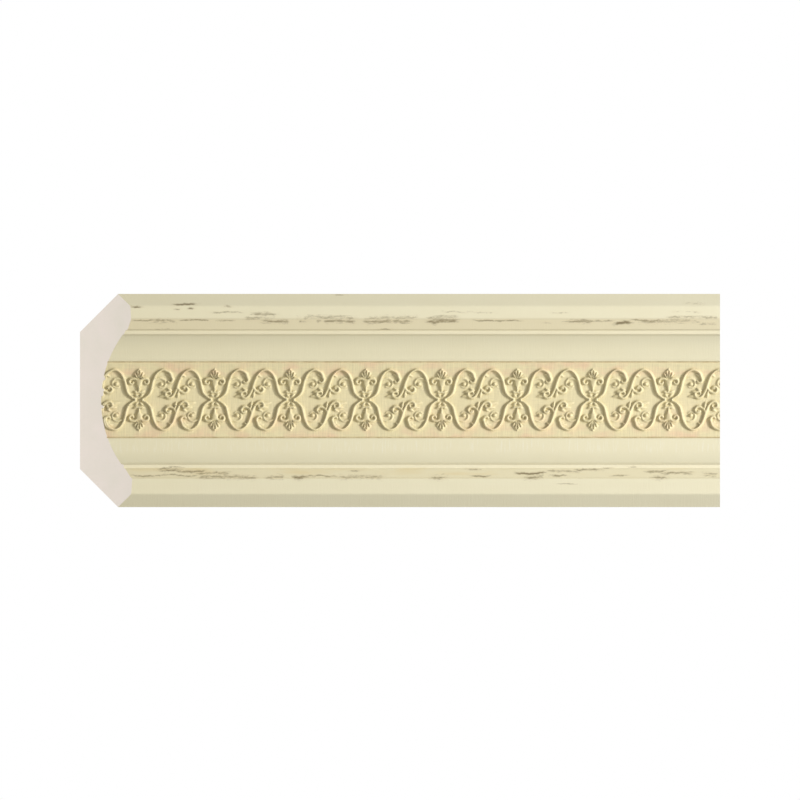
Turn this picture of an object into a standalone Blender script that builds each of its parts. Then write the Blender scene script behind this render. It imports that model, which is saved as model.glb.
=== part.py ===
"""A length of crown cornice moulding in rigid foam, with a scroll and palmette band in low relief.

It is modelled as it hangs: the wall is behind it at +Y, the ceiling above it at +Z, and it runs along X.
The origin is the middle of the face that lies against the wall. The section is drawn square to the front:
"up" runs across the front from the wall edge to the ceiling edge, and "out" is the distance from the flat
back. Sizes are in metres. Each end cut, each moulding and the band's drawing can be changed on its own.
"""

import math

import bmesh
import bpy
import numpy as np
from mathutils import Vector
from mathutils.geometry import delaunay_2d_cdt

# The whole length
LEG = 0.070  # how far it reaches down the wall, and out along the ceiling
CONTACT_FACE = 0.025  # width of the face on the wall, and of the one on the ceiling
LENGTH = 0.2971  # along the back, which is the longest line
LEFT_END_ANGLE = 45.0  # degrees: the left end is cut through the thickness, so that the back is longest
THROAT = 0.0098  # thickness at the middle, where the cove is deepest
COVE_RADIUS = 0.0515

# Mouldings between the ceiling edge and the cove, from the outside in
TOP_LIP = 0.0057  # across and out alike, so that the lip stands parallel to the wall
TOP_FACE_ACROSS = 0.0060
TOP_FACE_RISE = 0.00035
TOP_SLOPE_ACROSS = 0.0050
TOP_SLOPE_FALL = 0.00165
TOP_STEP_FALL = 0.0009
TOP_FILLET_ACROSS = 0.0020
TOP_FILLET_FALL = 0.0008

# Mouldings between the wall edge and the cove
BOTTOM_LIP = 0.0061  # across and out alike, so that the lip lies parallel to the ceiling
BOTTOM_FACE_ACROSS = 0.0073
BOTTOM_FACE_RISE = 0.0005
BOTTOM_CREASE_FALL = 0.0006
BOTTOM_SLOPE_ACROSS = 0.0043
BOTTOM_SLOPE_FALL = 0.0027
BOTTOM_STEP_FALL = 0.0006
BOTTOM_FILLET_ACROSS = 0.0018
BOTTOM_FILLET_FALL = 0.0001

STEP_RUN = 0.00015  # how far a step leans, so that it isn't quite upright

# The ornament band, which lies in the cove between two grooves
BAND_HEIGHT = 0.03505
BAND_MIDDLE_UP = 0.00035  # its middle above the middle of the front
GROOVE_WIDTH = 0.0010
GROOVE_DEPTH = 0.0004
REPEAT = 0.03512
FIRST_KNOT = 0.02739  # from the left end of the back to the first whole knot
RELIEF_HEIGHT = 0.0012

# The drawing's own units: a repeat has this many parts along, and the band's height as many
DRAWING_PARTS = 35.0
LEAF_FOOT = 0.4  # a leaf's width at its foot, as a share of its broadest
LEAF_TIP = 0.1
BALL_LENGTH = 0.2

# How finely curves are cut into straight lines
COVE_STEP = 0.004
KEY_STEPS = 8  # points between two keys of a curve
TURN_POINTS = 28  # points in one turn of a spiral
TENDRIL_ERROR = 0.00028
GROUND_STEP = 0.0058
GROUND_CLEARANCE = 0.0007
LEAST_RELIEF = 0.00005  # carving lower than this is left flat
PLAN_MARGIN = 0.0176  # how far the front runs on past each end before the ends are cut
MERGE = 0.00001
WELD = 0.000002
MILLIMETRES = 1000  # to a metre: the plan is laid out in them, because its points lie so close
TINY = 1e-18  # keeps a line of no length from dividing by nothing
MOST_TRIANGLES = 9800  # the carving is thinned to about this many, flattest places first

PAINT_COLOUR = (0.80, 0.71, 0.50, 1.0)
PAINT_ROUGHNESS = 0.55

HALF_FACE = LEG / math.sqrt(2)
HALF_BACK = (LEG - CONTACT_FACE) / math.sqrt(2)
EDGE_OUT = CONTACT_FACE / math.sqrt(2)
PART_ALONG = REPEAT / DRAWING_PARTS
PART_UP = BAND_HEIGHT / DRAWING_PARTS


# The section

def cove_out(up):
    return THROAT + COVE_RADIUS - math.sqrt(max(COVE_RADIUS ** 2 - up ** 2, 0.0))


def mouldings(members, side):
    """Corners (up, out) from the outer edge to the cove, given (across, rise) of each member."""
    up, out = HALF_FACE, EDGE_OUT
    corners = [(side * up, out)]
    for across, rise in members:
        up, out = up - across, out + rise
        corners.append((side * up, out))
    return corners


def cove_lines(low, high):
    """The cove from low to high, both ends in, in steps."""
    steps = max(1, math.ceil((high - low) / COVE_STEP))
    return [(up, cove_out(up)) for up in np.linspace(low, high, steps + 1)]


def groove_lines(up):
    """The three lines of a groove: its two edges and its bottom."""
    low, high = up - GROOVE_WIDTH / 2, up + GROOVE_WIDTH / 2
    return [(low, cove_out(low)), (up, cove_out(up) - GROOVE_DEPTH), (high, cove_out(high))]


def front_lines():
    """The front's lines (up, out), from the wall edge to the ceiling edge. The band has none inside it."""
    top = mouldings([(TOP_LIP, TOP_LIP), (TOP_FACE_ACROSS, TOP_FACE_RISE),
                     (TOP_SLOPE_ACROSS, -TOP_SLOPE_FALL), (STEP_RUN, -TOP_STEP_FALL),
                     (TOP_FILLET_ACROSS, -TOP_FILLET_FALL)], 1)
    bottom = mouldings([(BOTTOM_LIP, BOTTOM_LIP), (BOTTOM_FACE_ACROSS, BOTTOM_FACE_RISE),
                        (STEP_RUN, -BOTTOM_CREASE_FALL), (BOTTOM_SLOPE_ACROSS, -BOTTOM_SLOPE_FALL),
                        (STEP_RUN, -BOTTOM_STEP_FALL), (BOTTOM_FILLET_ACROSS, -BOTTOM_FILLET_FALL)], -1)
    low_groove = groove_lines(BAND_MIDDLE_UP - BAND_HEIGHT / 2)
    high_groove = groove_lines(BAND_MIDDLE_UP + BAND_HEIGHT / 2)
    cove_low = bottom[-1][0] + STEP_RUN
    cove_high = top[-1][0] - STEP_RUN
    lines = bottom + cove_lines(cove_low, low_groove[0][0])[:-1] + low_groove
    return lines + high_groove + cove_lines(high_groove[2][0], cove_high)[1:] + top[::-1]


# The drawing of the band. Keys are (along, up) in parts, with the knot at 0, 0.

def smooth_line(keys):
    """A curve through the keys."""
    keys = [np.array(key, float) for key in keys]
    keys = [2 * keys[0] - keys[1]] + keys + [2 * keys[-1] - keys[-2]]
    points = []
    for a, b, c, d in zip(keys, keys[1:], keys[2:], keys[3:]):
        for t in np.arange(KEY_STEPS) / KEY_STEPS:
            points.append(((2 * b) + (c - a) * t + (2 * a - 5 * b + 4 * c - d) * t ** 2
                           + (3 * b - a - 3 * c + d) * t ** 3) / 2)
    return np.array(points + [keys[-2]])


def volute(start, eye, turns, end_radius):
    """A spiral from start round the eye. It turns anticlockwise when turns is above 0."""
    spoke = np.array(start) - np.array(eye)
    radius, angle = math.hypot(*spoke), math.atan2(spoke[1], spoke[0])
    share = np.linspace(0, 1, max(4, int(abs(turns) * TURN_POINTS)) + 1)[1:]
    radius = radius + (end_radius - radius) * share
    angle = angle + 2 * math.pi * turns * share
    return np.stack([eye[0] + radius * np.cos(angle), eye[1] + radius * np.sin(angle)], axis=1)


def tendril(keys, eye, turns, end_radius):
    line = smooth_line(keys)
    return np.concatenate([line, volute(line[-1], eye, turns, end_radius)])


def leaf(foot, tip, half_width, height):
    """A small pointed leaf: line, half widths and height."""
    foot, tip = np.array(foot, float), np.array(tip, float)
    return np.array([foot, (foot + tip) / 2, tip]), [half_width * LEAF_FOOT, half_width, LEAF_TIP], height


def ball(middle, radius, height):
    """A short stroke, which comes out as a boss."""
    ends = [(middle[0] + end * BALL_LENGTH / 2, middle[1]) for end in (-1, 1)]
    return np.array(ends), [radius, radius], height


def upper_half():
    """The strokes above the knot, each (line, half widths along it, share of the relief's height)."""
    limb = [(1.5, 0.4), (3.1, 1.1), (5.1, 3.1), (6.0, 6.0), (6.7, 9.0), (8.3, 12.1), (10.8, 13.8)]
    limb_widths = [0.5, 0.65, 0.95, 1.05, 1.0, 0.9, 0.75, 0.6, 0.55]
    limb_left = [(-along, up) for along, up in limb]
    far_limb = [(-13.1, 13.3), (-15.1, 11.4), (-16.3, 8.9), (-17.4, 5.6), (-18.5, 3.0), (-19.8, 1.3),
                (-21.1, 0.8)]
    strokes = [
        # the limb to the left, which ends in the spray before the next knot
        (tendril(limb_left + far_limb, (-21.2, 2.6), -0.75, 1.0),
         limb_widths + [0.6, 0.8, 0.95, 1.0, 0.9, 0.8, 0.7, 0.6, 0.5], 1.0),
        leaf((-20.4, 2.2), (-26.0, 1.4), 1.0, 0.7),
        leaf((-21.2, 3.5), (-24.6, 3.6), 0.8, 0.8),
        # the limb to the right, which ends in a hooked leaf
        (tendril(limb + [(13.0, 13.3), (14.6, 12.1), (15.3, 10.2)], (14.1, 9.1), -0.5, 1.0),
         limb_widths + [0.65, 0.85, 1.05, 0.95, 0.75, 0.6], 1.0),
        leaf((13.7, 12.5), (12.3, 10.9), 0.7, 0.8),
        leaf((-15.2, 11.6), (-13.5, 10.7), 0.6, 0.8),
        # the small scroll that leaves the limb to the left
        (tendril([(-17.3, 6.4), (-16.2, 4.4), (-14.8, 3.4)], (-13.8, 4.9), 0.7, 1.0),
         [0.5, 0.65, 0.7, 0.65, 0.6, 0.5], 0.9),
        leaf((-16.6, 4.4), (-17.2, 1.0), 0.8, 0.8),
    ]
    for side in (-1, 1):
        strokes += [
            # the spiral inside each limb, with a ball for its eye
            (tendril([(side * 6.4, 7.3), (side * 7.4, 9.1), (side * 9.0, 9.7)],
                     (side * 10.2, 7.4), -side * 0.7, 1.6), [0.55, 0.6, 0.6, 0.5, 0.45, 0.4], 0.6),
            ball((side * 10.4, 7.2), 0.8, 0.9),
            # the scrolls beside the fan, the sides of the cup that it stands in, and the leaves at its foot
            (tendril([(side * 0.5, 8.5), (side * 1.8, 9.6), (side * 3.1, 9.7)],
                     (side * 3.3, 8.3), -side * 0.65, 0.9), [0.5, 0.65, 0.7, 0.65, 0.6, 0.5], 0.95),
            (smooth_line([(side * 0.4, 4.4), (side * 0.7, 6.2), (side * 2.0, 8.2)]),
             [0.5, 0.7, 0.65, 0.45], 0.9),
            leaf((side * 0.3, 1.8), (side * 2.5, 3.6), 0.8, 0.8),
        ]
    # the pointed fan, as a kite of ribs, and the knot
    for rib in range(-2, 3):
        strokes.append(leaf((0.2 * rib, 9.3), (1.25 * rib, 14.1 - 1.5 * abs(rib)), 0.62, 0.95))
    strokes.append(ball((0.95, 0.0), 0.8, 0.95))
    return strokes


def thinned(line, error):
    """Which rows (along, up, half width) are kept, so that the rest lie within error of what is left."""
    chord = line[-1] - line[0]
    away = line - line[0]
    share = np.clip((away @ chord) / max(chord @ chord, TINY), 0, 1)
    off = np.linalg.norm(away - share[:, None] * chord, axis=1)
    worst = int(np.argmax(off))
    if off[worst] <= error or worst in (0, len(line) - 1):
        return [0, len(line) - 1]
    first = thinned(line[:worst + 1], error)
    return first[:-1] + [worst + index for index in thinned(line[worst:], error)]


def band_strokes(low, high):
    """Every stroke that shows between low and high: (line, half widths, height), in metres."""
    drawing = []
    for line, widths, height in upper_half():
        for turn in (1, -1):
            along = line[:, 0] * turn * PART_ALONG
            up = line[:, 1] * turn * PART_UP
            run = np.concatenate([[0], np.cumsum(np.hypot(np.diff(along), np.diff(up)))])
            evenly = np.linspace(0, 1, len(widths))
            half = np.interp(run / run[-1], evenly, widths) * PART_ALONG
            points = np.stack([along, up], axis=1)
            kept = thinned(np.column_stack([points, half]), TENDRIL_ERROR)
            drawing.append((points[kept], half[kept], height * RELIEF_HEIGHT))
    longest = max(np.ptp(points[:, 0]) for points, _, _ in drawing)
    first_knot = -LENGTH / 2 + FIRST_KNOT
    first = math.floor((low - longest - first_knot) / REPEAT)
    last = math.ceil((high + longest - first_knot) / REPEAT)
    placed = []
    for knot in range(first, last + 1):
        shift = np.array([first_knot + knot * REPEAT, BAND_MIDDLE_UP])
        for points, half, height in drawing:
            along = points[:, 0] + shift[0]
            if along.max() > low and along.min() < high:
                placed.append((points + shift, half, height))
    return placed


def relief(points, strokes):
    """Height of the relief at each point: the highest of the roofs that the strokes make."""
    height = np.zeros(len(points))
    for line, half, crest in strokes:
        near = np.flatnonzero((points[:, 0] > line[:, 0].min() - half.max())
                              & (points[:, 0] < line[:, 0].max() + half.max()))
        if not len(near):
            continue
        for i in range(len(line) - 1):
            run = line[i + 1] - line[i]
            away = points[near] - line[i]
            share = np.clip((away @ run) / max(run @ run, TINY), 0, 1)
            off = np.hypot(*(away - share[:, None] * run).T)
            wide = half[i] + (half[i + 1] - half[i]) * share
            height[near] = np.maximum(height[near], crest * (1 - np.minimum(off / wide, 1)))
    height[height < LEAST_RELIEF] = 0
    return height


def clearance(points, strokes):
    """Distance of each point from the nearest stroke's edge."""
    gap = np.full(len(points), np.inf)
    for line, half, _ in strokes:
        for i in range(len(line) - 1):
            run = line[i + 1] - line[i]
            away = points - line[i]
            share = np.clip((away @ run) / max(run @ run, TINY), 0, 1)
            off = np.hypot(*(away - share[:, None] * run).T)
            gap = np.minimum(gap, off - max(half[i], half[i + 1]))
    return gap


def ribbon(line, half):
    """Points and edges of a stroke: its middle, its two sides and a point beyond each end."""
    ahead = np.diff(line, axis=0)
    ahead /= np.hypot(ahead[:, 0], ahead[:, 1])[:, None]
    ahead = np.concatenate([ahead[:1], ahead[:-1] + ahead[1:], ahead[-1:]])
    ahead /= np.hypot(ahead[:, 0], ahead[:, 1])[:, None]
    side = np.stack([-ahead[:, 1], ahead[:, 0]], axis=1) * half[:, None]
    count = len(line)
    ends = np.array([line[0] - ahead[0] * half[0], line[-1] + ahead[-1] * half[-1]])
    points = np.concatenate([line, line + side, line - side, ends])
    edges = [(row * count + i, row * count + i + 1) for row in range(3) for i in range(count - 1)]
    for row in range(3):
        edges += [(3 * count, row * count), (row * count + count - 1, 3 * count + 1)]
    return points, edges


# The solid

def stations(low, high):
    return np.linspace(low, high, max(2, round((high - low) / REPEAT)) + 1)


def front_plan(low, high):
    """The front laid flat: points (along, up) and triangles, with every line and stroke kept as edges."""
    lines = front_lines()
    strokes = band_strokes(low + PLAN_MARGIN / 2, high - PLAN_MARGIN / 2)
    points, edges = [], []

    def add(more_points, more_edges):
        start = len(points)
        points.extend(more_points)
        edges.extend((start + a, start + b) for a, b in more_edges)

    for up, _ in lines:
        row = stations(low, high)
        add([(along, up) for along in row], [(i, i + 1) for i in range(len(row) - 1)])
    for line, half, _ in strokes:
        add(*ribbon(line, half))
    bottom = BAND_MIDDLE_UP - BAND_HEIGHT / 2
    rows = max(2, round(BAND_HEIGHT / GROUND_STEP))
    columns = max(2, round((high - low) / GROUND_STEP))
    ground = np.array([(low + (column + 0.5) * (high - low) / columns, bottom + row * BAND_HEIGHT / rows)
                       for row in range(1, rows) for column in range(columns)])
    ground = ground[clearance(ground, strokes) > GROUND_CLEARANCE]
    add([tuple(point) for point in ground], [])
    flat = [Vector(np.array(point) * MILLIMETRES) for point in points]
    made, _, triangles, *_ = delaunay_2d_cdt(flat, edges, [], 0, MERGE * MILLIMETRES)
    return np.array([tuple(point) for point in made]) / MILLIMETRES, triangles, strokes


def ground_out(up):
    """Distance from the back to the front without the relief."""
    lines = np.array(front_lines())
    out = np.interp(up, lines[:, 0], lines[:, 1])
    inside = np.abs(up - BAND_MIDDLE_UP) < BAND_HEIGHT / 2 - GROOVE_WIDTH / 2
    cove = THROAT + COVE_RADIUS - np.sqrt(np.maximum(COVE_RADIUS ** 2 - up ** 2, 0))
    return np.where(inside, cove, out)


def as_it_hangs(along, up, out):
    """From the section's own directions to the wall and ceiling."""
    root = math.sqrt(2)
    return Vector((along,
                   -(LEG - CONTACT_FACE) / 2 - (up + out) / root,
                   LEG / 2 + (up - out) / root))


def build():
    lean = math.tan(math.radians(90 - LEFT_END_ANGLE))
    low, high = -LENGTH / 2 - PLAN_MARGIN, LENGTH / 2 + PLAN_MARGIN
    plan, triangles, strokes = front_plan(low, high)
    out = ground_out(plan[:, 1]) + relief(plan, strokes)

    mesh = bmesh.new()
    front = [mesh.verts.new((along, up, depth)) for (along, up), depth in zip(plan, out)]
    for a, b, c in triangles:
        first, second = plan[b] - plan[a], plan[c] - plan[a]
        if first[0] * second[1] - first[1] * second[0] < 0:
            b, c = c, b
        mesh.faces.new((front[a], front[b], front[c]))

    def edge_row(up):
        row = [i for i in range(len(plan)) if abs(plan[i][1] - up) < MERGE]
        return [front[i] for i in sorted(row, key=lambda i: plan[i][0])]

    wall_edge, ceiling_edge = edge_row(-HALF_FACE), edge_row(HALF_FACE)
    wall_back = [mesh.verts.new((v.co.x, -HALF_BACK, 0)) for v in wall_edge]
    ceiling_back = [mesh.verts.new((v.co.x, HALF_BACK, 0)) for v in ceiling_edge]
    for first, second in ((wall_back, wall_edge), (ceiling_back, wall_back), (ceiling_edge, ceiling_back)):
        for i in range(len(first) - 1):
            mesh.faces.new((first[i], first[i + 1], second[i + 1], second[i]))

    for point, normal in (((-LENGTH / 2, 0, 0), (-1, 0, lean)), ((LENGTH / 2, 0, 0), (1, 0, 0))):
        everything = mesh.verts[:] + mesh.edges[:] + mesh.faces[:]
        bmesh.ops.bisect_plane(mesh, geom=everything, dist=WELD / 2, plane_co=point,
                               plane_no=Vector(normal).normalized(), clear_outer=True)
    bmesh.ops.remove_doubles(mesh, verts=mesh.verts[:], dist=WELD)
    # each cut end is filled as a whole, so that a hollow which the cut closes off stays a hollow
    open_edges = [edge for edge in mesh.edges if edge.is_boundary]
    for side in (-1, 1):
        rim = [edge for edge in open_edges if edge.verts[0].co.x * side > 0]
        bmesh.ops.triangle_fill(mesh, edges=rim, use_beauty=True)
    for vertex in mesh.verts:
        vertex.co = as_it_hangs(*vertex.co)
    bmesh.ops.triangulate(mesh, faces=mesh.faces[:])
    bmesh.ops.recalc_face_normals(mesh, faces=mesh.faces[:])

    data = bpy.data.meshes.new("cornice_moulding")
    mesh.to_mesh(data)
    mesh.free()
    return bpy.data.objects.new("cornice_moulding", data)


def painted_foam():
    material = bpy.data.materials.new("painted_foam")
    material.use_nodes = True
    shader = material.node_tree.nodes["Principled BSDF"]
    shader.inputs["Base Color"].default_value = PAINT_COLOUR
    shader.inputs["Roughness"].default_value = PAINT_ROUGHNESS
    return material


for old in list(bpy.data.objects):
    bpy.data.objects.remove(old)
moulding = build()
moulding.data.materials.append(painted_foam())
bpy.context.scene.collection.objects.link(moulding)
thinning = moulding.modifiers.new("thinning", "DECIMATE")
thinning.ratio = min(1.0, MOST_TRIANGLES / len(moulding.data.polygons))
thinning.use_collapse_triangulate = True
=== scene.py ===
"""Looks of the cornice moulding: its painted face with the carved band, its raw foam, light and camera.

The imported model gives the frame: the wall is at +Y, the ceiling at +Z and the length runs along X. As in the
part's source, "up" runs across the front from the wall edge to the ceiling edge, and "out" is the distance
from the flat back. Sizes are in metres.
"""

import math

import bmesh
import bpy
import numpy as np
from mathutils import Matrix, Vector

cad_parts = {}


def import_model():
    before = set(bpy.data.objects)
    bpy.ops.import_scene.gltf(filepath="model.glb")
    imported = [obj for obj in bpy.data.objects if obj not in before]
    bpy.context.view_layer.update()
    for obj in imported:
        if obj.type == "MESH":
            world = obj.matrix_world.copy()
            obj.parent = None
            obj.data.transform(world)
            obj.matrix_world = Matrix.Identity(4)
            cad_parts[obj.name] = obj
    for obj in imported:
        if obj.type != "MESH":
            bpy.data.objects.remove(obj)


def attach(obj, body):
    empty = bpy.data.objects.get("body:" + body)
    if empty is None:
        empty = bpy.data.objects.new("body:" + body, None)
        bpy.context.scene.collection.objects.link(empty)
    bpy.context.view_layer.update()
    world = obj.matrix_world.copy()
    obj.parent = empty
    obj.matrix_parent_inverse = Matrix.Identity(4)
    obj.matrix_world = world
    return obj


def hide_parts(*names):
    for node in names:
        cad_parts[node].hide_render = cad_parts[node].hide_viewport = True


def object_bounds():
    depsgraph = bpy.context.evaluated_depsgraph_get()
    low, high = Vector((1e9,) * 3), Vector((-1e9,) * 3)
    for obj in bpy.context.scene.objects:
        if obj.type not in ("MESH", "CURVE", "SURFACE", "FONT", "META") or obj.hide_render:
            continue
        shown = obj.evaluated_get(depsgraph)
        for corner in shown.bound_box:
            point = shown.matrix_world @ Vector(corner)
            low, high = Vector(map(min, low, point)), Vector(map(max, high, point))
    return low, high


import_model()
cad_low, cad_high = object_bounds()
NODE = "cornice_moulding"

# The photograph: the front seen square-on
IMAGE_WIDTH = 800
METRES_PER_PIXEL = 0.00046422
CENTRE_COLUMN = 400.0
CENTRE_ROW = 400.5  # row of the middle of the front
IMAGE_MIDDLE_ROW = 400.0

# The section, as in the part's source
LEG = float(cad_high[2] - cad_low[2])
LENGTH = -2 * float(cad_low[0])  # the length is centred on the origin
CONTACT_FACE = 0.025
THROAT = 0.0098
COVE_RADIUS = 0.0515
HALF_FACE = LEG / math.sqrt(2)
HALF_BACK = (LEG - CONTACT_FACE) / math.sqrt(2)
EDGE_OUT = CONTACT_FACE / math.sqrt(2)
STEP_RUN = 0.00015

# The mouldings beside the cove: (across, rise) of each member, from the outer edge inwards
TOP_MEMBERS = [(0.0057, 0.0057), (0.0060, 0.00035), (0.0050, -0.00165), (STEP_RUN, -0.0009),
               (0.0020, -0.0008)]
BOTTOM_MEMBERS = [(0.0061, 0.0061), (0.0073, 0.0005), (STEP_RUN, -0.0006), (0.0043, -0.0027),
                  (STEP_RUN, -0.0006), (0.0018, -0.0001)]
TOP_SLOPE = 2  # the corner at which the slope beside the fillet starts
BOTTOM_SLOPE = 3
ARRIS_RADIUS = 0.0006  # how much each corner of the mouldings is softened
ARRIS_SHARE = 0.45  # but over no more than this share of a member
ARRIS_STEPS = 4
ARRIS_HOLD = 0.0003  # an extra row this far from each softened corner keeps the strip beside it flat
HOLD_SHARE = 0.04  # but no further than this share of the member

# The ornament band
BAND_HEIGHT = 0.03505
BAND_MIDDLE_UP = 0.00035
BAND_LOW = BAND_MIDDLE_UP - BAND_HEIGHT / 2
BAND_HIGH = BAND_MIDDLE_UP + BAND_HEIGHT / 2
GROOVE_WIDTH = 0.0010
GROOVE_DEPTH = 0.0004
REPEAT = 0.03512
FIRST_KNOT = 0.02739  # along from the left end
RELIEF_HEIGHT = 0.0012
SOFTENING = 0.0001  # how far the relief is blurred
STROKE_POWER = 4.5  # the higher, the flatter the top of a stroke
DRAWING_PARTS = 35.0  # in a repeat, and in the band's height
PART_ALONG = REPEAT / DRAWING_PARTS
PART_UP = BAND_HEIGHT / DRAWING_PARTS

# Where patina and painted shadow lie in the band
# a strip of painted shadow, with some patina, lies to the left of what stands up, away from the key light
SHADOW_PATINA_SHIFT = 0.00085  # to the left of what stands up
SHADOW_PATINA_SPREAD = 0.0005
SHADOW_PATINA_CLEARED = 0.55  # how much a place's own height clears it away
SHADOW_PATINA_FULL = 0.4  # share of the relief's height at which it is full
FOOT_SPREAD = 0.00035  # it lies along every foot too
FOOT_FULL = 0.25
FOOT_PATINA = 0.8

# How fine the mesh is
TILE_CELLS = 351  # the relief is worked out on a square of this many cells to a repeat
BAND_CELL = 0.000345
PLAIN_CELL = 0.005
COVE_STEP = 0.0012
GROOVE_ROWS = 9
CURVE_STEPS = 12  # from one key of a curve to the next
TURN_STEPS = 40  # to a whole turn of a spiral
BEVEL_TRIES = 4


# The section

def cove_out(up):
    return THROAT + COVE_RADIUS - np.sqrt(np.maximum(COVE_RADIUS ** 2 - np.square(up), 0))


def mouldings(members, side):
    """Corners (up, out) from the outer edge to the cove, given (across, rise) of each member."""
    up, out = HALF_FACE, EDGE_OUT
    corners = [(side * up, out)]
    for across, rise in members:
        up, out = up - across, out + rise
        corners.append((side * up, out))
    return corners


def softened(corners):
    """The same line with each inner corner rounded."""
    points = [corners[0]]
    for before, corner, after in zip(corners, corners[1:], corners[2:]):
        before, corner, after = (np.array(p) for p in (before, corner, after))
        to_before, to_after = before - corner, after - corner
        near = corner + to_before * min(ARRIS_RADIUS / np.hypot(*to_before), ARRIS_SHARE)
        far = corner + to_after * min(ARRIS_RADIUS / np.hypot(*to_after), ARRIS_SHARE)
        points.append(tuple(near + to_before * min(ARRIS_HOLD / np.hypot(*to_before), HOLD_SHARE)))
        for t in np.linspace(0, 1, ARRIS_STEPS + 1):
            points.append(tuple((1 - t) ** 2 * near + 2 * t * (1 - t) * corner + t ** 2 * far))
        points.append(tuple(far + to_after * min(ARRIS_HOLD / np.hypot(*to_after), HOLD_SHARE)))
    return points + [corners[-1]]


def cove_rows(low, high):
    steps = max(2, math.ceil((high - low) / COVE_STEP))
    return [(up, float(cove_out(up))) for up in np.linspace(low, high, steps + 1)]


def groove_rows(middle):
    """Rows (up, out) across a groove with a rounded bottom and edges."""
    rows = []
    for share in np.linspace(-1, 1, GROOVE_ROWS):
        depth = GROOVE_DEPTH * (0.5 + 0.5 * math.cos(math.pi * share))
        up = middle + share * GROOVE_WIDTH / 2
        rows.append((up, float(cove_out(up)) - depth))
    return rows


def plain_rows():
    """Rows (up, out) below and above the band, each from the outer edge to the band."""
    low, high = BAND_LOW - GROOVE_WIDTH / 2, BAND_HIGH + GROOVE_WIDTH / 2
    bottom = mouldings(BOTTOM_MEMBERS, -1)
    top = mouldings(TOP_MEMBERS, 1)
    bottom += cove_rows(bottom[-1][0] + STEP_RUN, low)[:1]
    top += cove_rows(high, top[-1][0] - STEP_RUN)[-1:]
    below = softened(bottom) + cove_rows(bottom[-1][0], low)[1:-1] + groove_rows(BAND_LOW)
    above = softened(top) + cove_rows(high, top[-1][0])[1:-1][::-1] + groove_rows(BAND_HIGH)[::-1]
    return below, above


# The drawing of the band. Keys are (along, up) in parts, with the knot at 0, 0.

def smooth_line(keys):
    """A curve through the keys."""
    keys = [np.array(key, float) for key in keys]
    keys = [2 * keys[0] - keys[1]] + keys + [2 * keys[-1] - keys[-2]]
    points = []
    for a, b, c, d in zip(keys, keys[1:], keys[2:], keys[3:]):
        for t in np.arange(CURVE_STEPS) / CURVE_STEPS:
            points.append(((2 * b) + (c - a) * t + (2 * a - 5 * b + 4 * c - d) * t ** 2
                           + (3 * b - a - 3 * c + d) * t ** 3) / 2)
    return np.array(points + [keys[-2]])


def volute(start, eye, turns, end_radius):
    """A spiral from start round the eye. It turns anticlockwise when turns is above 0."""
    spoke = np.array(start) - np.array(eye)
    radius, angle = math.hypot(*spoke), math.atan2(spoke[1], spoke[0])
    share = np.linspace(0, 1, max(4, int(abs(turns) * TURN_STEPS)) + 1)[1:]
    radius = radius + (end_radius - radius) * share
    angle = angle + 2 * math.pi * turns * share
    return np.stack([eye[0] + radius * np.cos(angle), eye[1] + radius * np.sin(angle)], axis=1)


def tendril(keys, eye, turns, end_radius):
    """A curve through the keys that ends in a spiral."""
    line = smooth_line(keys)
    return np.concatenate([line, volute(line[-1], eye, turns, end_radius)])


def leaf(foot, tip, half_width, height):
    """A stroke that is widest at its middle and pointed at its tip."""
    foot, tip = np.array(foot, float), np.array(tip, float)
    return smooth_line([foot, foot * 0.5 + tip * 0.5, tip]), [half_width * 0.4, half_width, 0.1], height


def ball(middle, radius, height):
    """A stroke so short that it is round."""
    return np.array([(middle[0] - 0.1, middle[1]), (middle[0] + 0.1, middle[1])]), [radius, radius], height


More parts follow.
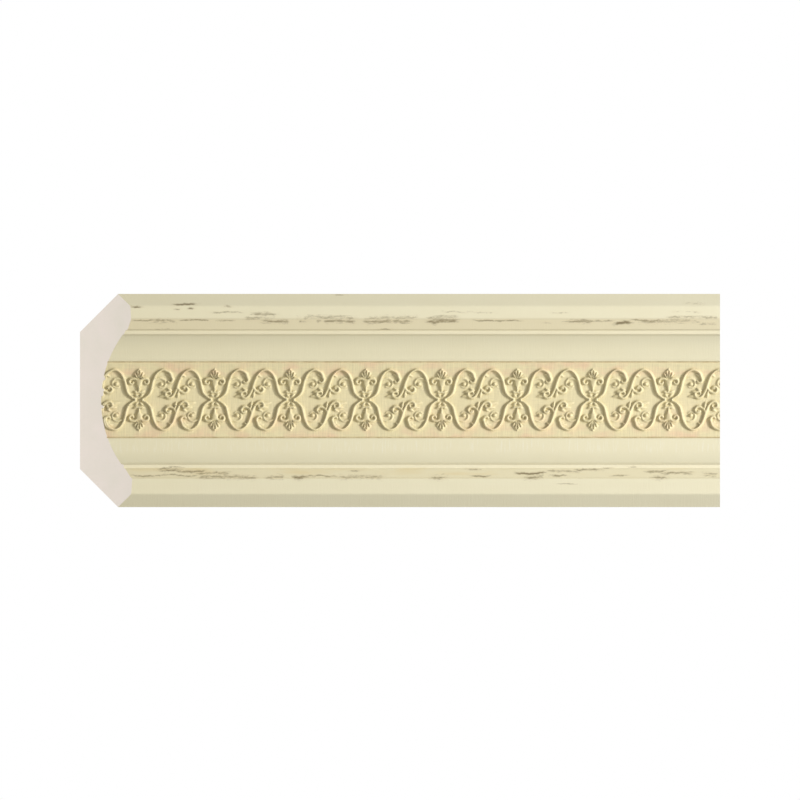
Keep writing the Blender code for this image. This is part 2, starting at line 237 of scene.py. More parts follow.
def upper_half():
    """(raised, sunk) strokes above the knot, each (line, half widths along it, share of the height)."""
    limb = [(1.5, 0.4), (3.1, 1.1), (5.1, 3.1), (6.0, 6.0), (6.7, 9.0), (8.3, 12.1), (10.8, 13.8)]
    limb_widths = [0.36, 0.47, 0.64, 0.72, 0.68, 0.62, 0.54, 0.45, 0.4]
    limb_left = [(-along, up) for along, up in limb]
    far_limb = [(-13.1, 13.3), (-15.1, 11.4), (-16.3, 8.9), (-17.4, 5.6), (-18.5, 3.0), (-19.8, 1.3),
                (-21.1, 0.8)]
    raised = [
        # the limb to the left, which ends in the spray before the next knot
        (tendril(limb_left + far_limb, (-21.2, 2.6), -0.75, 1.0),
         limb_widths + [0.45, 0.58, 0.65, 0.68, 0.65, 0.6, 0.55, 0.45, 0.4], 1.0),
        leaf((-20.4, 2.2), (-26.0, 1.4), 1.0, 0.6),
        leaf((-21.2, 3.5), (-24.6, 3.6), 0.8, 0.85),
        leaf((-19.9, 4.2), (-22.0, 5.3), 0.6, 0.8),
        # the limb to the right, which ends in a hooked leaf
        (tendril(limb + [(13.0, 13.3), (14.6, 12.1), (15.3, 10.2)], (14.1, 9.1), -0.5, 1.0),
         limb_widths + [0.48, 0.62, 0.75, 0.7, 0.6, 0.45], 1.0),
        (smooth_line([(12.4, 11.6), (13.6, 11.4), (14.4, 9.8)]), [0.15, 0.5, 0.5, 0.2], 0.6),
        leaf((-15.2, 11.6), (-13.5, 10.7), 0.5, 0.85),
        # the small scroll that leaves the limb to the left
        (tendril([(-17.3, 6.4), (-16.2, 4.4), (-14.8, 3.4)], (-13.8, 4.9), 0.8, 0.9),
         [0.5, 0.6, 0.65, 0.6, 0.5, 0.4], 0.95),
        ball((-13.8, 5.2), 0.45, 0.9),
        leaf((-16.6, 4.4), (-17.2, 1.0), 0.75, 0.85),
    ]
    sunk = []
    for side in (-1, 1):
        raised += [
            # the spiral inside each limb, with a ball for its eye
            (tendril([(side * 6.4, 7.3), (side * 7.4, 9.1), (side * 9.0, 9.7)],
                     (side * 10.2, 7.4), -side * 0.7, 1.6), [0.5, 0.5, 0.45, 0.4, 0.3, 0.2], 0.55),
            ball((side * 10.4, 7.2), 0.75, 1.1),
            # the scrolls beside the fan, and the leaves at its foot
            (tendril([(side * 0.5, 8.5), (side * 1.8, 9.6), (side * 3.1, 9.7)],
                     (side * 3.3, 8.3), -side * 0.75, 0.75), [0.45, 0.6, 0.65, 0.6, 0.5, 0.4], 0.95),
            leaf((side * 0.4, 3.2), (side * 2.5, 3.9), 0.65, 0.85),
            leaf((side * 0.4, 1.4), (side * 1.9, 2.5), 0.6, 0.85),
        ]
    # the pointed fan: a kite with five cuts
    raised.append((smooth_line([(0, 9.2), (0, 11.2), (0, 14.2)]), [0.8, 2.4, 2.6, 1.6, 0.8, 0.15], 0.95))
    for rib in range(-2, 3):
        tip = (rib * 1.3, 13.5 - abs(rib))
        sunk.append((smooth_line([(rib * 0.3, 9.6), tip]), [0.15, 0.32, 0.4], 0.85))
    # the cup that it stands in, and its bead
    raised.append((smooth_line([(0, 4.6), (0, 6.5), (0, 9.3)]), [0.4, 0.5, 1.0, 1.7, 1.8, 1.0], 0.9))
    raised.append(ball((0, 3.6), 0.55, 0.9))
    # the knot, with a pit in its middle
    raised.append(ball((1.5, 0.0), 0.65, 0.95))
    sunk.append(ball((0.4, 0.0), 0.9, 1.4))
    return raised, sunk


def rounded(share):
    """Height of a stroke's section, from 1 on its middle line to 0 at its edge."""
    return 1 - share ** STROKE_POWER


def lay(tile, line, half, crest):
    """Lays one stroke on the tile, which repeats along its length. Where two cross, the higher one shows."""
    cells = TILE_CELLS
    size_along, size_up = REPEAT / cells, BAND_HEIGHT / cells
    for i in range(len(line) - 1):
        a, b = line[i], line[i + 1]
        reach = max(half[i], half[i + 1])
        columns = np.arange(math.floor((min(a[0], b[0]) - reach) / size_along),
                            math.ceil((max(a[0], b[0]) + reach) / size_along) + 1)
        rows = np.arange(max(0, math.floor((min(a[1], b[1]) - reach + BAND_HEIGHT / 2) / size_up)),
                         min(cells, math.ceil((max(a[1], b[1]) + reach + BAND_HEIGHT / 2) / size_up) + 1))
        along, up = np.meshgrid(columns * size_along, rows * size_up - BAND_HEIGHT / 2)
        run = b - a
        share = np.clip(((along - a[0]) * run[0] + (up - a[1]) * run[1]) / max(run @ run, 1e-18), 0, 1)
        off = np.hypot(along - a[0] - share * run[0], up - a[1] - share * run[1])
        wide = half[i] + (half[i + 1] - half[i]) * share
        height = crest * rounded(np.minimum(off / wide, 1))
        place = np.ix_(rows, columns % cells)
        tile[place] = np.maximum(tile[place], height)


def blurred(tile, radius):
    """The tile smoothed over radius metres. It wraps along the length only."""
    sigma = radius / (REPEAT / TILE_CELLS)
    reach = max(1, math.ceil(3 * sigma))
    weights = np.exp(-0.5 * (np.arange(-reach, reach + 1) / sigma) ** 2)
    weights /= weights.sum()
    tile = sum(w * np.roll(tile, s, axis=1) for w, s in zip(weights, range(-reach, reach + 1)))
    padded = np.pad(tile, ((reach, reach), (0, 0)), mode="edge")
    return sum(w * padded[reach + s:reach + s + len(tile)] for w, s in zip(weights, range(-reach, reach + 1)))


def relief_tile():
    """(height of the relief, amount of patina and painted shadow) over one repeat. The lower half is the
    upper, turned.
    """
    tile = np.zeros((TILE_CELLS, TILE_CELLS))
    cut = np.zeros_like(tile)
    scale = np.array([PART_ALONG, PART_UP])
    for layer, strokes in zip((tile, cut), upper_half()):
        for line, widths, height in strokes:
            for turn in (1, -1):
                points = line * turn * scale
                run = np.concatenate([[0], np.cumsum(np.hypot(*np.diff(points, axis=0).T))])
                half = np.interp(run / run[-1], np.linspace(0, 1, len(widths)), widths) * PART_ALONG
                lay(layer, points, half, height * RELIEF_HEIGHT)
    cut = blurred(cut, SOFTENING / 2)
    tile = np.maximum(blurred(tile, SOFTENING) - cut, 0)
    # painted shadow, with some patina, to the left of each stroke, on the side away from the key light
    beside = blurred(np.roll(tile, -round(SHADOW_PATINA_SHIFT / REPEAT * TILE_CELLS), axis=1), SHADOW_PATINA_SPREAD)
    left = np.clip((beside - SHADOW_PATINA_CLEARED * tile) / (SHADOW_PATINA_FULL * RELIEF_HEIGHT), 0, 1)
    foot = np.clip((blurred(tile, FOOT_SPREAD) - tile) / (FOOT_FULL * RELIEF_HEIGHT), 0, 1)
    in_cuts = np.clip(cut / RELIEF_HEIGHT, 0, 1)
    return tile, np.maximum.reduce([left, foot * FOOT_PATINA, in_cuts])


def sampled(tile, along, up):
    """The tile's value at points along the moulding."""
    column = (along + LENGTH / 2 - FIRST_KNOT) / (REPEAT / TILE_CELLS)
    last = TILE_CELLS - 1.001  # so that every place has a row above it
    row = np.clip((up - BAND_MIDDLE_UP + BAND_HEIGHT / 2) / (BAND_HEIGHT / TILE_CELLS), 0, last)
    c, r = np.floor(column).astype(int), np.floor(row).astype(int)
    s, t = column - c, row - r
    c, c2 = c % TILE_CELLS, (c + 1) % TILE_CELLS
    return ((tile[r, c] * (1 - s) + tile[r, c2] * s) * (1 - t)
            + (tile[r + 1, c] * (1 - s) + tile[r + 1, c2] * s) * t)


# The moulding's mesh

def as_it_hangs(along, up, out):
    """From the section's own directions to the wall and ceiling."""
    root = math.sqrt(2)
    outwards = -(LEG - CONTACT_FACE) / 2 - (up + out) / root
    upwards = LEG / 2 + (up - out) / root
    return np.stack([along, outwards, upwards], axis=-1)


def zipped(first, second):
    """Triangles between two rows of points with different counts, both laid evenly."""
    first_steps, second_steps = len(first) - 1, len(second) - 1
    faces, i, j = [], 0, 0
    while i < first_steps or j < second_steps:
        if j == second_steps or (i < first_steps and (i + 1) * second_steps <= (j + 1) * first_steps):
            faces.append((first[i], first[i + 1], second[j]))
            i += 1
        else:
            faces.append((first[i], second[j + 1], second[j]))
            j += 1
    return faces


def row_points(up, out, shares, relief=None):
    """(points, patina and painted shadow) of a row from the bevelled end to the square one. Points are (along,
    up, out).
    """
    left = -LENGTH / 2 + out
    if relief:
        height, patina_and_shade = relief
        for _ in range(BEVEL_TRIES):  # the relief moves the bevel's edge, and the edge the relief
            left = -LENGTH / 2 + out + float(sampled(height, np.array([left]), np.array([up]))[0])
    along = left + shares * (LENGTH / 2 - left)
    ups = np.full(len(along), up)
    outs = np.full(len(along), out)
    if not relief:
        return np.stack([along, ups, outs], axis=1), 0 * along
    outs += sampled(height, along, ups)
    outs[0] = left + LENGTH / 2  # keeps the bevelled end flat
    return np.stack([along, ups, outs], axis=1), sampled(patina_and_shade, along, ups)


def moulding_rows():
    """The rows of the front from below to above, then the two of the back, and the count of the front's."""
    relief = relief_tile()
    below, above = plain_rows()
    plain = np.linspace(0, 1, round(LENGTH / PLAIN_CELL) + 1)
    fine = np.linspace(0, 1, round(LENGTH / BAND_CELL) + 1)
    low, high = below[-1][0], above[-1][0]
    band = np.linspace(low, high, round((high - low) / BAND_CELL) + 1)[1:-1]
    rows = [row_points(up, out, plain) for up, out in below]
    rows += [row_points(up, float(cove_out(up)), fine, relief) for up in band]
    rows += [row_points(up, out, plain) for up, out in above[::-1]]
    return rows + [row_points(HALF_BACK, 0.0, plain), row_points(-HALF_BACK, 0.0, plain)], len(rows)


def strips(counts, front_rows):
    """Faces between rows with these counts of points, then both ends, and the region of each face.

    The front is region 0, the three flat faces behind it are 1 to 3, and the ends are 4 and 5.
    """
    rows, start = [], 0
    for count in counts:
        rows.append(list(range(start, start + count)))
        start += count
    faces, regions = [], []
    for index, row in enumerate(rows):
        after = rows[(index + 1) % len(rows)]
        if len(row) == len(after):
            strip = list(zip(row[:-1], row[1:], after[1:], after[:-1]))
        else:
            strip = zipped(row, after)
        faces += strip
        regions += [max(0, index - front_rows + 2)] * len(strip)
    faces.append([row[0] for row in rows])
    faces.append([row[-1] for row in rows][::-1])
    return faces, regions + [4, 5]


def shade(mesh, regions):
    """Smooth on the front, flat elsewhere, sharp between regions, and with all faces turned outwards."""
    shaped = bmesh.new()
    shaped.from_mesh(mesh)
    shaped.faces.ensure_lookup_table()
    for face in shaped.faces:
        face.smooth = regions[face.index] == 0
    for edge in shaped.edges:
        if len({regions[face.index] for face in edge.link_faces}) > 1:
            edge.smooth = False
    bmesh.ops.recalc_face_normals(shaped, faces=shaped.faces[:])
    shaped.to_mesh(mesh)
    shaped.free()


def moulding_mesh():
    rows, front_rows = moulding_rows()
    faces, regions = strips([len(points) for points, _ in rows], front_rows)
    points = np.concatenate([points for points, _ in rows])
    patina_and_shade = np.concatenate([patina_and_shade for _, patina_and_shade in rows])
    mesh = bpy.data.meshes.new("moulding")
    mesh.from_pydata(as_it_hangs(*points.T).tolist(), [], faces)
    # the amount of patina and painted shadow at each point
    mesh.attributes.new("shadow_and_patina", "FLOAT", "POINT").data.foreach_set("value", patina_and_shade.astype(np.float32))
    face_map = mesh.uv_layers.new(name="front")
    corner_points = np.empty(len(mesh.loops), np.int32)
    mesh.loops.foreach_get("vertex_index", corner_points)
    face_map.data.foreach_set("uv", points[corner_points][:, :2].astype(np.float32).ravel())
    # the first material is the front's, and the second everything else's
    mesh.polygons.foreach_set("material_index", np.minimum(regions, 1).astype(np.int32))
    shade(mesh, regions)
    return mesh


# Materials

class Nodes:
    """Short names for building a material's node tree."""

    def __init__(self, name):
        self.material = bpy.data.materials.new(name)
        self.material.use_nodes = True
        self.tree = self.material.node_tree
        self.shader = self.tree.nodes["Principled BSDF"]

    def node(self, kind, **settings):
        made = self.tree.nodes.new("ShaderNode" + kind)
        for name, value in settings.items():
            setattr(made, name, value)
        return made

    def link(self, value, socket):
        if hasattr(value, "is_output"):
            self.tree.links.new(value, socket)
        else:
            socket.default_value = value

    def math(self, operation, first, second=0.0, clamp=False):
        made = self.node("Math", operation=operation, use_clamp=clamp)
        self.link(first, made.inputs[0])
        self.link(second, made.inputs[1])
        return made.outputs[0]

    def mix(self, share, first, second, blend="MIX"):
        made = self.node("Mix", data_type="RGBA", blend_type=blend, clamp_factor=True)
        self.link(share, made.inputs[0])
        self.link(first, made.inputs[6])
        self.link(second, made.inputs[7])
        return made.outputs[2]

    def noise(self, vector, scale=1.0, detail=2.0, roughness=0.5):
        made = self.node("TexNoise")
        self.link(vector, made.inputs["Vector"])
        made.inputs["Scale"].default_value = scale
        made.inputs["Detail"].default_value = detail
        made.inputs["Roughness"].default_value = roughness
        return made.outputs["Fac"]

    def stretched(self, vector, along, up, shift):
        """Coordinates in which one unit is that many metres along and up."""
        made = self.node("Mapping")
        self.link(vector, made.inputs["Vector"])
        made.inputs["Scale"].default_value = (1 / along, 1 / up, 1)
        made.inputs["Location"].default_value = (*shift, 0)
        return made.outputs[0]

    def patches(self, place, size, detail, roughness=0.5, shift=(0.0, 0.0)):
        """Noise in patches of about this size, (along, up) in metres."""
        return self.noise(self.stretched(place, *size, shift=shift), detail=detail, roughness=roughness)

    def ramp(self, value, stops):
        """A line through stops (value, level). A level is a number or a colour."""
        made = self.node("ValToRGB")
        self.link(value, made.inputs[0])
        elements = made.color_ramp.elements
        while len(elements) < len(stops):
            elements.new(1.0)
        for element, (position, level) in zip(elements, sorted(stops)):
            element.position = position
            element.color = (level, level, level, 1) if isinstance(level, (int, float)) else (*level, 1)
        return made.outputs[0]

    def rise(self, value, start, gain):
        """0 up to start, then rising gain times as fast as the value, up to 1."""
        return self.math("MULTIPLY", self.math("SUBTRACT", value, start), gain, clamp=True)

    def between(self, value, low, high, soft):
        """1 from low to high, falling to 0 over soft beyond each."""
        up = self.math("MULTIPLY", self.math("SUBTRACT", value, low - soft), 1 / soft, clamp=True)
        down = self.math("MULTIPLY", self.math("SUBTRACT", high + soft, value), 1 / soft, clamp=True)
        return self.math("MULTIPLY", up, down)

    def bump(self, height, distance, normal=None):
        made = self.node("Bump")
        made.inputs["Distance"].default_value = distance
        self.link(height, made.inputs["Height"])
        if normal is not None:
            self.link(normal, made.inputs["Normal"])
        return made.outputs[0]


def srgb(red, green, blue):
    """Linear colour of an 8-bit screen colour."""
    values = [channel / 255 for channel in (red, green, blue)]
    return tuple(v / 12.92 if v <= 0.04045 else ((v + 0.055) / 1.055) ** 2.4 for v in values)


def opaque(colour):
    return (*colour, 1.0)


# Colours of the paint and the foam
CREAM = srgb(234, 227, 196)
CREAM_CLOUD = srgb(231, 223, 190)
PALE_HAIR = srgb(243, 239, 222)
OCHRE = srgb(226, 206, 152)
BAND_CREAM = srgb(231, 219, 177)
BAND_ROSE = srgb(233, 206, 170)
# colour of the patina and of the painted shadow beside the strokes
PATINA_AND_SHADOW = srgb(190, 176, 130)
GROOVE_BROWN = srgb(187, 168, 126)
STAIN = srgb(208, 190, 154)
SOIL = srgb(110, 95, 60)
RAW_FOAM = srgb(225, 213, 205)
RAW_FOAM_DARK = srgb(213, 207, 193)
RAW_FOAM_PORE = srgb(196, 184, 170)

# Where the paint is scuffed, in the photograph's pixels. Each line is
# (row, rows to each side, [(first column, last column, strength), ...]).
SCUFFS = [
    (294.9, 1.1, [(334, 345, 0.95)]),
    (303.5, 2.0, [(684, 703, 0.60)]),
    (304.5, 1.7, [(173, 197, 1.30)]),
    (306.8, 1.8, [(131, 142, 1.35), (225, 231, 1.00)]),
    (309.0, 1.6, [(175, 182, 1.10), (187, 193, 1.30)]),
    (312.2, 1.3, [(211, 243, 0.90), (444, 495, 0.65), (552, 567, 0.80), (672, 690, 0.65), (690, 699, 0.95)]),
    (314.0, 3.5, [(251, 278, 0.90)]),
    (317.5, 2.4, [(667, 719, 0.88)]),
    (320.4, 1.5, [(131, 170, 1.00), (179, 211, 1.05), (215, 236, 0.90), (473, 521, 1.00), (574, 616, 0.95),
                  (631, 662, 1.05)]),
    (317.6, 3.4, [(245, 300, 0.92), (300, 357, 0.84), (366, 420, 0.80), (425, 459, 0.86)]),
    (321.2, 3.6, [(150, 176, 0.84), (261, 293, 1.02), (295, 320, 0.95), (320, 357, 1.02), (361, 412, 0.95),
                  (425, 459, 1.15)]),
    (321.6, 3.6, [(565, 592, 0.98), (640, 700, 0.84)]),
    (322.5, 1.4, [(348, 356, 1.00), (365, 410, 0.95), (428, 450, 1.05), (543, 549, 0.80)]),
    (323.0, 3.4, [(613, 632, 1.35)]),
    (324.0, 1.8, [(698, 719, 0.80)]),
    (329.3, 0.9, [(152, 171, 0.70), (374, 392, 0.80)]),
    (467.3, 1.2, [(170, 184, 0.85), (604, 614, 0.90), (627, 638, 0.85)]),
    (469.2, 1.7, [(157, 182, 1.05), (465, 481, 0.95), (574, 602, 1.00)]),
    (471.2, 2.2, [(160, 206, 1.12), (349, 363, 0.85), (547, 580, 0.85), (645, 668, 1.00)]),
    (473.4, 2.3, [(195, 230, 0.95), (515, 546, 1.30), (660, 694, 1.00), (703, 719, 0.85)]),
    (475.6, 1.5, [(131, 198, 1.00), (305, 338, 1.00), (470, 490, 1.12), (550, 568, 1.12), (611, 628, 1.00),
                  (703, 719, 0.85)]),
    (477.3, 4.0, [(197, 259, 0.92), (264, 287, 0.90), (289, 308, 1.22), (338, 383, 0.90), (431, 446, 1.00),
                  (524, 542, 0.98), (652, 667, 0.98)]),
    (483.7, 0.9, [(557, 577, 0.75)]),
]
SCUFF_FADE = 0.002  # along the length
SCUFF_WANDER = 0.0016  # how far a scuff strays up and down
SCUFF_CORE = 0.0001  # how far it is at full strength to each side of its row

# Paler and cooler along the length, towards the square end: (share of the length, tone)
LENGTH_DRIFT = [(0.0, (0.985, 0.975, 0.955)), (0.35, (1.01, 1.01, 1.01)), (1.0, (1.07, 1.075, 1.10))]

# Painted shade, darker and warmer, on the slopes, in the creases and where the cove starts; painted highlight
# on the fillets
UNSHADED = (1.0, 1.0, 1.0)
TOP_SLOPE_SHADE = (0.94, 0.905, 0.86)
BOTTOM_SLOPE_SHADE = (0.975, 0.955, 0.915)
TOP_CREASE_SHADE = (0.86, 0.83, 0.79)
BOTTOM_CREASE_SHADE = (0.96, 0.94, 0.90)
FILLET_HIGHLIGHT = (1.07, 1.06, 1.06)
COVE_EDGE_SHADE = (0.88, 0.87, 0.86)
COVE_START_SHADE = (0.92, 0.92, 0.92)

# How far those tones lie from the corners where they change
CREASE_REACH = 0.0007
SLOPE_IN = 0.0006
SLOPE_OUT = 0.0004
FILLET_IN = 0.0003
COVE_EDGE = 0.0001
COVE_START = 0.0009
COVE_CLEARING = 0.007  # from here on the cove has no painted shade

# Size of each pattern in the paint, (along, up) in metres
CLOUD_SIZE = (0.02, 0.008)
STREAK_SIZE = (0.0007, 0.009)
WEAVE_SIZE = (0.006, 0.0006)
ROSE_SIZE = (0.012, 0.007)
OCHRE_SIZE = (0.03, 0.006)
GROOVE_SIZE = (0.004, 0.01)
WANDER_SIZE = (0.014, 0.05)
GRAIN_SIZE = (0.012, 0.0006)
FLECK_SIZE = (0.0024, 0.0009)
GLOSS_SIZE = (0.004, 0.004)
TOOTH_SIZE = (0.0006, 0.0006)

# Which part of the noise a pattern takes
OCHRE_SHIFT = (5.3, 0.0)
FLECK_SHIFT = (3.1, 1.7)

# Where each pattern starts to show, and how steeply it rises
CLOUD_RISE = (0.35, 1.2)
ROSE_RISE = (0.44, 4)
HAIR_RISE = (0.53, 6)
OCHRE_RISE = (0.47, 5)
MARK_RISE = (1.0, 4)
HEAVY_RISE = (0.7, 1.6)

# How strong each pattern is
STREAK_STRENGTH = 0.44
WEAVE_STRENGTH = 0.18
GLAZE_BASE = 0.675  # the band's tone without them
# of the patina and the painted shadow
PATINA_AND_SHADOW_STRENGTH = 0.7
HAIR_STRENGTH = 0.5
OCHRE_STRENGTH = 0.45
GROOVE_STRENGTH = 1.5
WEAR_STRENGTH = 0.85  # of the grain and the flecks, which break a scuff up
SCUFF_STRENGTH = 0.36
SCUFF_LEAST = 0.02
STAIN_STRENGTH = 0.22
MARK_STRENGTH = 0.42
HEAVY_STRENGTH = 0.4  # what a heavy scuff adds to that

# Where the patterns lie
BAND_SOFT = 0.0002
ROSE_TOP = 0.005  # rosy patches lie in the band's lower half, and from its top down to this far
ROSE_SOFT = 0.002
HAIR_REACH = 0.006  # pale hairs lie from here to the gap, below the band
HAIR_GAP = 0.001
HAIR_SOFT = 0.002
OCHRE_FIRST_ROW = 469
OCHRE_LAST_ROW = 474
OCHRE_SOFT = 0.0008
GROOVE_CORE = 0.0001
GROOVE_SOFT = 0.00035

# The surface of the paint
PAINT_ROUGHNESS = 0.48
GLOSS_SPREAD = 0.2
PAINT_SPECULAR = 0.35
STREAK_BUMP = 0.00006
TOOTH_BUMP = 0.00003

# The raw foam
PORE_SCALE = 2600
PORE_EDGE = 0.35
PORE_STRENGTH = 0.18
PORE_BUMP = 0.00005
FOAM_CLOUD_SCALE = 90
FOAM_ROUGHNESS = 0.9
FOAM_SPECULAR = 0.2


def along_of(column):
    return (column - CENTRE_COLUMN) * METRES_PER_PIXEL


def up_of(row):
    return (CENTRE_ROW - row) * METRES_PER_PIXEL


def grey(n, level):
    made = n.node("CombineColor")
    for socket in made.inputs:
        n.link(level, socket)
    return made.outputs[0]


def painted_shade_tone(n, up):
    """Painted shade on the slopes, along the creases and where the cove starts; painted highlight on the
    fillets.
    """
    sides = ((BOTTOM_MEMBERS, -1, BOTTOM_SLOPE, BOTTOM_SLOPE_SHADE, BOTTOM_CREASE_SHADE),
             (TOP_MEMBERS, 1, TOP_SLOPE, TOP_SLOPE_SHADE, TOP_CREASE_SHADE))
    stops = [(-HALF_FACE, UNSHADED), (HALF_FACE, UNSHADED)]
    for members, side, slope, slope_shade, crease_shade in sides:
        corners = [corner[0] for corner in mouldings(members, side)]
        start, end, fillet = corners[slope:slope + 3]
        cove = corners[-1]
        stops += [(start + side * CREASE_REACH, UNSHADED), (start, crease_shade),
                  (start - side * SLOPE_IN, slope_shade), (end + side * SLOPE_OUT, slope_shade),
                  (end, crease_shade), (fillet, FILLET_HIGHLIGHT),
                  (cove + side * FILLET_IN, FILLET_HIGHLIGHT), (cove - side * COVE_EDGE, COVE_EDGE_SHADE),
                  (cove - side * COVE_START, COVE_START_SHADE), (cove - side * COVE_CLEARING, UNSHADED)]
    share = n.math("ADD", n.math("DIVIDE", up, 2 * HALF_FACE), 0.5)
    return n.ramp(share, [(place / (2 * HALF_FACE) + 0.5, tone) for place, tone in stops])


def cream_paint(n, place, up, streak):
    """Outside the band: a cloudy cream, with pale hairs below the band and ochre on the lower slope."""
    cloud = n.rise(n.patches(place, CLOUD_SIZE, detail=4), *CLOUD_RISE)
    cream = n.mix(cloud, opaque(CREAM), opaque(CREAM_CLOUD))
    below = n.between(up, BAND_LOW - HAIR_REACH, BAND_LOW - HAIR_GAP, HAIR_SOFT)
    hairs = n.math("MULTIPLY", n.rise(streak, *HAIR_RISE), below)
    cream = n.mix(n.math("MULTIPLY", hairs, HAIR_STRENGTH), cream, opaque(PALE_HAIR))
    ochre = n.rise(n.patches(place, OCHRE_SIZE, detail=3, shift=OCHRE_SHIFT), *OCHRE_RISE)
    on_slope = n.between(up, up_of(OCHRE_LAST_ROW), up_of(OCHRE_FIRST_ROW), OCHRE_SOFT)
    ochre = n.math("MULTIPLY", ochre, on_slope)
    return n.mix(n.math("MULTIPLY", ochre, OCHRE_STRENGTH), cream, opaque(OCHRE))


def band_glaze_and_shadow(n, place, up, streak, shadow_and_patina):
    """The band: a warmer glaze with streaks, rosy patches near its edges, patina and painted shadow."""
    patch = n.rise(n.patches(place, ROSE_SIZE, detail=2), *ROSE_RISE)
    lower = n.math("MULTIPLY", n.math("SUBTRACT", BAND_MIDDLE_UP, up), 2 / BAND_HEIGHT, clamp=True)
    edge = n.math("ADD", lower, n.between(up, BAND_HIGH - ROSE_TOP, BAND_HIGH, ROSE_SOFT), clamp=True)
    glaze = n.mix(n.math("MULTIPLY", patch, edge), opaque(BAND_CREAM), opaque(BAND_ROSE))
    weave = n.math("MULTIPLY", n.patches(place, WEAVE_SIZE, detail=3, roughness=0.6), WEAVE_STRENGTH)
    streaks = n.math("ADD", n.math("MULTIPLY", streak, STREAK_STRENGTH), weave)
    glaze = n.mix(1.0, glaze, grey(n, n.math("ADD", GLAZE_BASE, streaks)), blend="MULTIPLY")
    # patina, and painted shadow to the left of the strokes
    return n.mix(n.math("MULTIPLY", shadow_and_patina, PATINA_AND_SHADOW_STRENGTH), glaze, opaque(PATINA_AND_SHADOW))


def with_grooves(n, place, up, colour):
    """The colour with an uneven brown line along both edges of the band."""
    uneven = n.math("MULTIPLY", n.patches(place, GROOVE_SIZE, detail=3, roughness=0.6), GROOVE_STRENGTH)
    for line in (BAND_LOW, BAND_HIGH):
        in_groove = n.between(up, line - GROOVE_CORE, line + GROOVE_CORE, GROOVE_SOFT)
        colour = n.mix(n.math("MULTIPLY", in_groove, uneven, clamp=True), colour, opaque(GROOVE_BROWN))
    return colour


def scuff_strength(n, place, share, up):
    """How scuffed the paint is, from 0 to a little over 1. The share is that of the length."""
    wander = n.math("SUBTRACT", n.patches(place, WANDER_SIZE, detail=4, roughness=0.65), 0.5)
    up = n.math("ADD", up, n.math("MULTIPLY", wander, SCUFF_WANDER * 2))
    fade = SCUFF_FADE / LENGTH
    total = 0.0
    for row, reach, spans in SCUFFS:
        stops = [(0.0, 0.0)]
        for first, last, strength in spans:
            start, end = along_of(first) / LENGTH + 0.5, along_of(last) / LENGTH + 0.5
            stops += [(start - fade, 0.0), (start + fade, strength)]
            stops += [(end - fade, strength), (end + fade, 0.0)]
        rows = n.between(up, up_of(row) - SCUFF_CORE, up_of(row) + SCUFF_CORE, reach * METRES_PER_PIXEL)
        total = n.math("MAXIMUM", total, n.math("MULTIPLY", n.ramp(share, stops), rows))
    return total


def with_scuffs(n, place, share, up, colour):
    """The colour stained and worn through where the paint is scuffed, darker in a heavy scuff."""
    grain = n.patches(place, GRAIN_SIZE, detail=5, roughness=0.7)
    fleck = n.patches(place, FLECK_SIZE, detail=3, roughness=0.65, shift=FLECK_SHIFT)
    wear = n.math("ADD", n.math("MULTIPLY", grain, WEAR_STRENGTH), n.math("MULTIPLY", fleck, WEAR_STRENGTH))
    scuff = scuff_strength(n, place, share, up)
    mark = n.rise(n.math("ADD", wear, n.math("MULTIPLY", scuff, SCUFF_STRENGTH)), *MARK_RISE)
    mark = n.math("MULTIPLY", mark, n.math("GREATER_THAN", scuff, SCUFF_LEAST))
    heavy = n.math("MULTIPLY", n.rise(scuff, *HEAVY_RISE), HEAVY_STRENGTH)
    mark = n.math("MULTIPLY", mark, n.math("ADD", MARK_STRENGTH, heavy))
    colour = n.mix(n.math("MULTIPLY", scuff, STAIN_STRENGTH, clamp=True), colour, opaque(STAIN))
    return n.mix(mark, colour, opaque(SOIL))


def painted_foam():
    n = Nodes("cream_paint_with_painted_shade")
    place = n.node("UVMap", uv_map="front").outputs[0]
    parts = n.node("SeparateXYZ")
    n.link(place, parts.inputs[0])
    along, up = parts.outputs[0], parts.outputs[1]
    share = n.math("ADD", n.math("DIVIDE", along, LENGTH), 0.5)
    # patina and painted shadow, worked out with the relief
    shadow_and_patina = n.node("Attribute", attribute_name="shadow_and_patina").outputs["Fac"]
    streak = n.patches(place, STREAK_SIZE, detail=4, roughness=0.65)

    in_band = n.between(up, BAND_LOW, BAND_HIGH, BAND_SOFT)
    colour = n.mix(in_band, cream_paint(n, place, up, streak), band_glaze_and_shadow(n, place, up, streak, shadow_and_patina))
    colour = with_grooves(n, place, up, colour)
    # painted shade and painted highlight across the mouldings
    colour = n.mix(1.0, colour, painted_shade_tone(n, up), blend="MULTIPLY")
    colour = n.mix(1.0, colour, n.ramp(share, LENGTH_DRIFT), blend="MULTIPLY")
    colour = with_scuffs(n, place, share, up, colour)
    n.link(colour, n.shader.inputs["Base Color"])

    gloss = n.math("MULTIPLY", n.patches(place, GLOSS_SIZE, detail=3), GLOSS_SPREAD)
    n.link(n.math("ADD", PAINT_ROUGHNESS, gloss), n.shader.inputs["Roughness"])
    n.shader.inputs["Specular IOR Level"].default_value = PAINT_SPECULAR
    tooth = n.patches(place, TOOTH_SIZE, detail=4, roughness=0.6)
    n.link(n.bump(streak, STREAK_BUMP, n.bump(tooth, TOOTH_BUMP)), n.shader.inputs["Normal"])
    return n.material


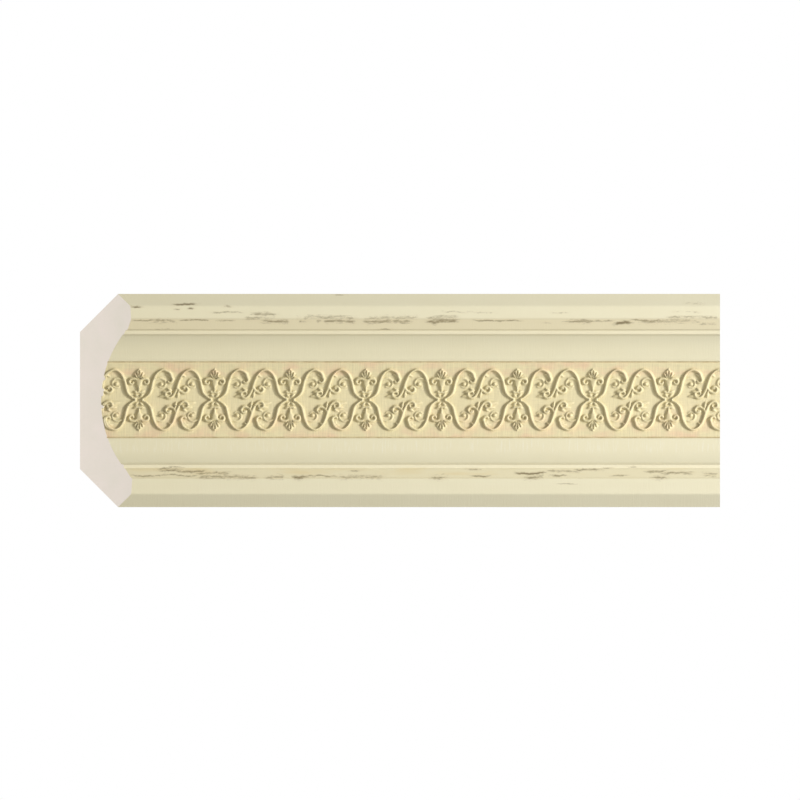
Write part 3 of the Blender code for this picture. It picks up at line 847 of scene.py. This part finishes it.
def raw_foam():
    n = Nodes("raw_foam")
    place = n.node("TexCoord").outputs["Object"]
    cells = n.node("TexVoronoi", feature="F1")
    n.link(place, cells.inputs["Vector"])
    cells.inputs["Scale"].default_value = PORE_SCALE
    solid = n.ramp(cells.outputs["Distance"], [(0.0, 0.0), (PORE_EDGE, 1.0)])
    cloud = n.noise(place, scale=FOAM_CLOUD_SCALE, detail=4)
    colour = n.mix(cloud, opaque(RAW_FOAM), opaque(RAW_FOAM_DARK))
    in_pore = n.math("MULTIPLY", n.math("SUBTRACT", 1.0, solid), PORE_STRENGTH)
    n.link(n.mix(in_pore, colour, opaque(RAW_FOAM_PORE)), n.shader.inputs["Base Color"])
    n.shader.inputs["Roughness"].default_value = FOAM_ROUGHNESS
    n.shader.inputs["Specular IOR Level"].default_value = FOAM_SPECULAR
    n.link(n.bump(solid, PORE_BUMP), n.shader.inputs["Normal"])
    return n.material


moulding = bpy.data.objects.new("moulding", moulding_mesh())
bpy.context.scene.collection.objects.link(moulding)
moulding.data.materials.append(painted_foam())
moulding.data.materials.append(raw_foam())
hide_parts(NODE)
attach(moulding, "root")


# Camera, light and floor. Directions are (right, up, out) as the photograph shows the front.

RIGHT = Vector((1, 0, 0))
UP = Vector((0, -1, 1)).normalized()
OUT = Vector((0, -1, -1)).normalized()
FRONT_MIDDLE = Vector(as_it_hangs(0.0, 0.0, THROAT).tolist())
CAMERA_DISTANCE = 0.8
WHITE = (1.0, 1.0, 1.0)
WARM_WHITE = (1.0, 0.99, 0.96)
FLOOR_GREY = (0.80, 0.80, 0.79)
FLOOR_PALE = (0.84, 0.84, 0.83)
FLOOR_CLOUD_SCALE = 3
FLOOR_ROUGHNESS = 0.8


def in_front(right, up, out):
    return FRONT_MIDDLE + right * RIGHT + up * UP + out * OUT


def camera():
    data = bpy.data.cameras.new("camera")
    data.type = "ORTHO"
    data.ortho_scale = IMAGE_WIDTH * METRES_PER_PIXEL
    made = bpy.data.objects.new("camera", data)
    turn = Matrix((RIGHT, UP, OUT)).transposed().to_4x4()
    made.matrix_world = Matrix.Translation(in_front(0, up_of(IMAGE_MIDDLE_ROW), CAMERA_DISTANCE)) @ turn
    bpy.context.scene.collection.objects.link(made)
    bpy.context.scene.camera = made


def area_light(name, direction, distance, size, power, colour):
    """A square light in that direction from the middle of the front, turned towards it."""
    data = bpy.data.lights.new(name, "AREA")
    data.size = size
    data.energy = power
    data.color = colour
    made = bpy.data.objects.new(name, data)
    made.location = in_front(*(Vector(direction).normalized() * distance))
    made.rotation_euler = (made.location - FRONT_MIDDLE).to_track_quat("Z", "Y").to_euler()
    bpy.context.scene.collection.objects.link(made)


def world(strength):
    """Even light from all round, and a white backdrop behind what the camera sees."""
    made = bpy.data.worlds.new("studio")
    made.use_nodes = True
    tree = made.node_tree
    tree.nodes.clear()
    even, backdrop = tree.nodes.new("ShaderNodeBackground"), tree.nodes.new("ShaderNodeBackground")
    even.inputs[0].default_value = opaque(WHITE)
    even.inputs[1].default_value = strength
    backdrop.inputs[0].default_value = opaque(WHITE)
    choice, ray = tree.nodes.new("ShaderNodeMixShader"), tree.nodes.new("ShaderNodeLightPath")
    output = tree.nodes.new("ShaderNodeOutputWorld")
    tree.links.new(ray.outputs["Is Camera Ray"], choice.inputs[0])
    tree.links.new(even.outputs[0], choice.inputs[1])
    tree.links.new(backdrop.outputs[0], choice.inputs[2])
    tree.links.new(choice.outputs[0], output.inputs[0])
    bpy.context.scene.world = made


def floor(height, reach):
    corners = ((-reach, -reach), (reach, -reach), (reach, reach), (-reach, reach))
    data = bpy.data.meshes.new("floor")
    data.from_pydata([(x, y, height) for x, y in corners], [], [(0, 1, 2, 3)])
    made = bpy.data.objects.new("floor", data)
    bpy.context.scene.collection.objects.link(made)
    n = Nodes("floor_paint")
    cloud = n.noise(n.node("TexCoord").outputs["Object"], scale=FLOOR_CLOUD_SCALE)
    n.link(n.mix(cloud, opaque(FLOOR_GREY), opaque(FLOOR_PALE)), n.shader.inputs["Base Color"])
    n.shader.inputs["Roughness"].default_value = FLOOR_ROUGHNESS
    data.materials.append(n.material)


camera()
area_light("key", direction=(1.0, 0.17, 0.55), distance=4.0, size=0.36, power=143.0, colour=WARM_WHITE)
area_light("section_fill", direction=(-1.0, 0.0, -0.2), distance=1.1, size=0.3, power=11.5, colour=WHITE)
world(strength=0.395)
floor(height=-1.9, reach=8.0)
bpy.context.scene.view_settings.view_transform = "Standard"
